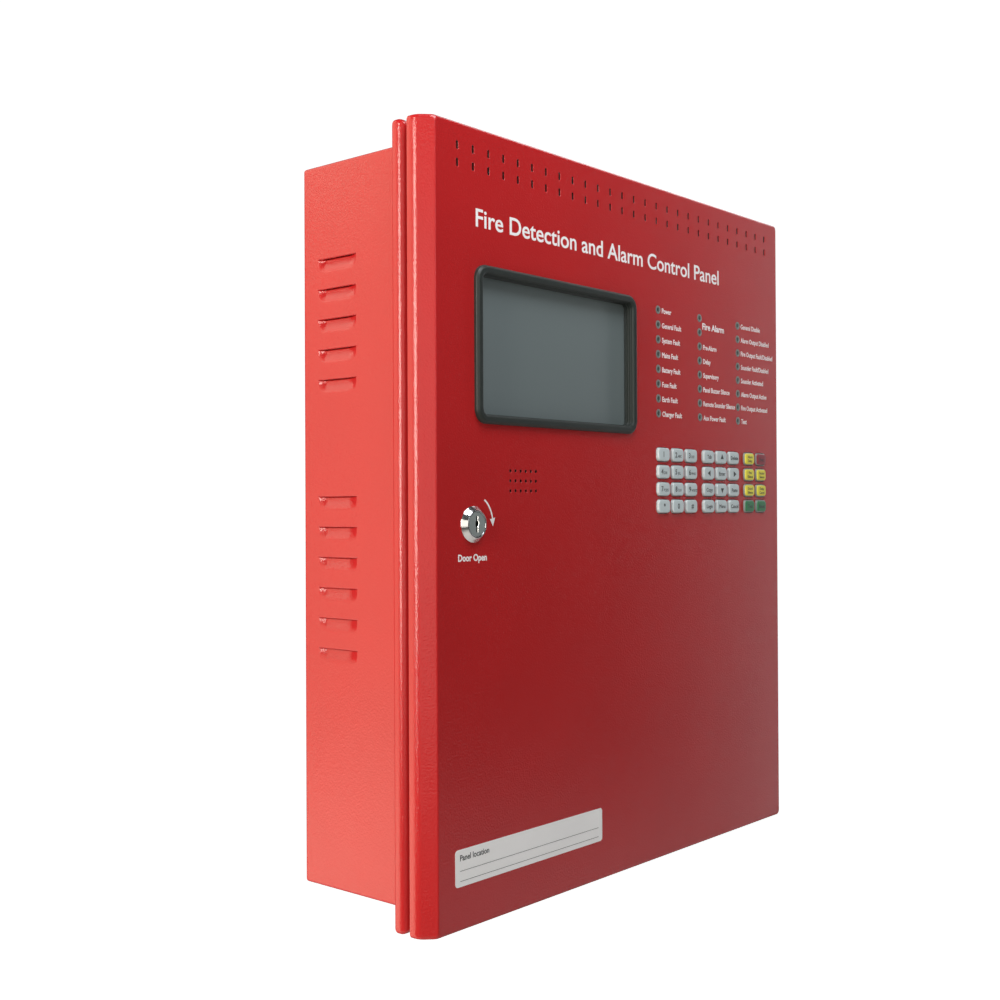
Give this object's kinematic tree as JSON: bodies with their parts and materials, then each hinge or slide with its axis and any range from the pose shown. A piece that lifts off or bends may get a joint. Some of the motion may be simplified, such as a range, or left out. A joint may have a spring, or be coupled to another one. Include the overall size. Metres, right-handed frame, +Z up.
{
  "type": "fire alarm control panel",
  "caption": "Wall-mounted steel cabinet with a hinged door that carries a screen, indicators, keys, a sounder and a key lock, over boards, power supply and standby batteries.",
  "frame": {"origin": "centre of the cabinet's back face, on the wall", "axes": "+Z up, -Y out of the door towards the user, +Y into the wall, +X to the user's right"},
  "size_m": [0.4249, 0.1235, 0.48],
  "materials": {
    "red_paint": "satin, fine texture",
    "zinc_steel": "zinc plated",
    "chrome_plate": "bright",
    "aluminium_cage": "matte",
    "surround_rubber": "satin",
    "black_rubber": "matte",
    "screen": "anti-glare",
    "key_grey": "satin",
    "key_yellow": "satin",
    "key_red": "satin",
    "key_green": "satin",
    "lens_grey": "frosted",
    "circuit_board": "solder mask",
    "terminal_green": "satin",
    "black_plastic": "satin",
    "battery_case": "matte",
    "ribbon_cable": "satin"
  },
  "bodies": {
    "cabinet": {"back_box": "red_paint", "front_frame": "red_paint", "cable_grommet_left": "black_rubber", "cable_grommet_right": "black_rubber", "chassis_plate": "zinc_steel", "main_board": "circuit_board", "terminal_strip": "terminal_green", "power_supply": "aluminium_cage", "mains_terminal_block": "black_plastic", "battery_left": "battery_case", "battery_right": "battery_case", "battery_bracket": "zinc_steel", "door_ribbon_cable": "ribbon_cable", "hinge_frame_leaf_upper": "zinc_steel", "hinge_frame_leaf_lower": "zinc_steel"},
    "door": {"door": "red_paint", "hinge_door_leaf_upper": "zinc_steel", "hinge_door_leaf_lower": "zinc_steel", "display_gasket": "surround_rubber", "display_module": "screen", "control_board": "circuit_board", "keypad_mat": "black_rubber", "indicator_lens_bar": "lens_grey", "sounder": "black_plastic", "lock_body": "chrome_plate", "lock_nut": "zinc_steel"},
    "lock": {"lock_plug": "chrome_plate", "lock_cam": "zinc_steel"},
    "key_1": {"key_1": "key_grey"},
    "key_2": {"key_2": "key_grey"},
    "key_3": {"key_3": "key_grey"},
    "key_tab": {"key_tab": "key_grey"},
    "key_up": {"key_up": "key_grey"},
    "key_delete": {"key_delete": "key_grey"},
    "key_yellow_1": {"key_yellow_1": "key_yellow"},
    "key_red": {"key_red": "key_red"},
    "key_4": {"key_4": "key_grey"},
    "key_5": {"key_5": "key_grey"},
    "key_6": {"key_6": "key_grey"},
    "key_left": {"key_left": "key_grey"},
    "key_enter": {"key_enter": "key_grey"},
    "key_right": {"key_right": "key_grey"},
    "key_yellow_2": {"key_yellow_2": "key_yellow"},
    "key_yellow_3": {"key_yellow_3": "key_yellow"},
    "key_7": {"key_7": "key_grey"},
    "key_8": {"key_8": "key_grey"},
    "key_9": {"key_9": "key_grey"},
    "key_copy": {"key_copy": "key_grey"},
    "key_down": {"key_down": "key_grey"},
    "key_paste": {"key_paste": "key_grey"},
    "key_yellow_4": {"key_yellow_4": "key_yellow"},
    "key_yellow_5": {"key_yellow_5": "key_yellow"},
    "key_star": {"key_star": "key_grey"},
    "key_0": {"key_0": "key_grey"},
    "key_hash": {"key_hash": "key_grey"},
    "key_login": {"key_login": "key_grey"},
    "key_menu": {"key_menu": "key_grey"},
    "key_cancel": {"key_cancel": "key_grey"},
    "key_green_1": {"key_green_1": "key_green"},
    "key_green_2": {"key_green_2": "key_green"}
  },
  "joints": [
    {"name": "door_hinge", "type": "hinge", "parent": "cabinet", "child": "door", "pos_m": [0.2126, -0.1028, 0.17], "axis": [0, 0, 1], "range_deg": [0, 110], "deforming": ["door_ribbon_cable"]},
    {"name": "lock_turn", "type": "hinge", "parent": "door", "child": "lock", "pos_m": [-0.1695, -0.1235, 0.0005], "axis": [0, -1, 0], "range_deg": [0, 90]},
    {"name": "key_1_press", "type": "slide", "parent": "door", "child": "key_1", "axis": [0, 1, 0], "range_m": [0, 0.0012], "stiffness_N_per_m": 400},
    {"name": "key_2_press", "type": "slide", "parent": "door", "child": "key_2", "axis": [0, 1, 0], "range_m": [0, 0.0012], "stiffness_N_per_m": 400},
    {"name": "key_3_press", "type": "slide", "parent": "door", "child": "key_3", "axis": [0, 1, 0], "range_m": [0, 0.0012], "stiffness_N_per_m": 400},
    {"name": "key_tab_press", "type": "slide", "parent": "door", "child": "key_tab", "axis": [0, 1, 0], "range_m": [0, 0.0012], "stiffness_N_per_m": 400},
    {"name": "key_up_press", "type": "slide", "parent": "door", "child": "key_up", "axis": [0, 1, 0], "range_m": [0, 0.0012], "stiffness_N_per_m": 400},
    {"name": "key_delete_press", "type": "slide", "parent": "door", "child": "key_delete", "axis": [0, 1, 0], "range_m": [0, 0.0012], "stiffness_N_per_m": 400},
    {"name": "key_yellow_1_press", "type": "slide", "parent": "door", "child": "key_yellow_1", "axis": [0, 1, 0], "range_m": [0, 0.0012], "stiffness_N_per_m": 400},
    {"name": "key_red_press", "type": "slide", "parent": "door", "child": "key_red", "axis": [0, 1, 0], "range_m": [0, 0.0012], "stiffness_N_per_m": 400},
    {"name": "key_4_press", "type": "slide", "parent": "door", "child": "key_4", "axis": [0, 1, 0], "range_m": [0, 0.0012], "stiffness_N_per_m": 400},
    {"name": "key_5_press", "type": "slide", "parent": "door", "child": "key_5", "axis": [0, 1, 0], "range_m": [0, 0.0012], "stiffness_N_per_m": 400},
    {"name": "key_6_press", "type": "slide", "parent": "door", "child": "key_6", "axis": [0, 1, 0], "range_m": [0, 0.0012], "stiffness_N_per_m": 400},
    {"name": "key_left_press", "type": "slide", "parent": "door", "child": "key_left", "axis": [0, 1, 0], "range_m": [0, 0.0012], "stiffness_N_per_m": 400},
    {"name": "key_enter_press", "type": "slide", "parent": "door", "child": "key_enter", "axis": [0, 1, 0], "range_m": [0, 0.0012], "stiffness_N_per_m": 400},
    {"name": "key_right_press", "type": "slide", "parent": "door", "child": "key_right", "axis": [0, 1, 0], "range_m": [0, 0.0012], "stiffness_N_per_m": 400},
    {"name": "key_yellow_2_press", "type": "slide", "parent": "door", "child": "key_yellow_2", "axis": [0, 1, 0], "range_m": [0, 0.0012], "stiffness_N_per_m": 400},
    {"name": "key_yellow_3_press", "type": "slide", "parent": "door", "child": "key_yellow_3", "axis": [0, 1, 0], "range_m": [0, 0.0012], "stiffness_N_per_m": 400},
    {"name": "key_7_press", "type": "slide", "parent": "door", "child": "key_7", "axis": [0, 1, 0], "range_m": [0, 0.0012], "stiffness_N_per_m": 400},
    {"name": "key_8_press", "type": "slide", "parent": "door", "child": "key_8", "axis": [0, 1, 0], "range_m": [0, 0.0012], "stiffness_N_per_m": 400},
    {"name": "key_9_press", "type": "slide", "parent": "door", "child": "key_9", "axis": [0, 1, 0], "range_m": [0, 0.0012], "stiffness_N_per_m": 400},
    {"name": "key_copy_press", "type": "slide", "parent": "door", "child": "key_copy", "axis": [0, 1, 0], "range_m": [0, 0.0012], "stiffness_N_per_m": 400},
    {"name": "key_down_press", "type": "slide", "parent": "door", "child": "key_down", "axis": [0, 1, 0], "range_m": [0, 0.0012], "stiffness_N_per_m": 400},
    {"name": "key_paste_press", "type": "slide", "parent": "door", "child": "key_paste", "axis": [0, 1, 0], "range_m": [0, 0.0012], "stiffness_N_per_m": 400},
    {"name": "key_yellow_4_press", "type": "slide", "parent": "door", "child": "key_yellow_4", "axis": [0, 1, 0], "range_m": [0, 0.0012], "stiffness_N_per_m": 400},
    {"name": "key_yellow_5_press", "type": "slide", "parent": "door", "child": "key_yellow_5", "axis": [0, 1, 0], "range_m": [0, 0.0012], "stiffness_N_per_m": 400},
    {"name": "key_star_press", "type": "slide", "parent": "door", "child": "key_star", "axis": [0, 1, 0], "range_m": [0, 0.0012], "stiffness_N_per_m": 400},
    {"name": "key_0_press", "type": "slide", "parent": "door", "child": "key_0", "axis": [0, 1, 0], "range_m": [0, 0.0012], "stiffness_N_per_m": 400},
    {"name": "key_hash_press", "type": "slide", "parent": "door", "child": "key_hash", "axis": [0, 1, 0], "range_m": [0, 0.0012], "stiffness_N_per_m": 400},
    {"name": "key_login_press", "type": "slide", "parent": "door", "child": "key_login", "axis": [0, 1, 0], "range_m": [0, 0.0012], "stiffness_N_per_m": 400},
    {"name": "key_menu_press", "type": "slide", "parent": "door", "child": "key_menu", "axis": [0, 1, 0], "range_m": [0, 0.0012], "stiffness_N_per_m": 400},
    {"name": "key_cancel_press", "type": "slide", "parent": "door", "child": "key_cancel", "axis": [0, 1, 0], "range_m": [0, 0.0012], "stiffness_N_per_m": 400},
    {"name": "key_green_1_press", "type": "slide", "parent": "door", "child": "key_green_1", "axis": [0, 1, 0], "range_m": [0, 0.0012], "stiffness_N_per_m": 400},
    {"name": "key_green_2_press", "type": "slide", "parent": "door", "child": "key_green_2", "axis": [0, 1, 0], "range_m": [0, 0.0012], "stiffness_N_per_m": 400}
  ]
}
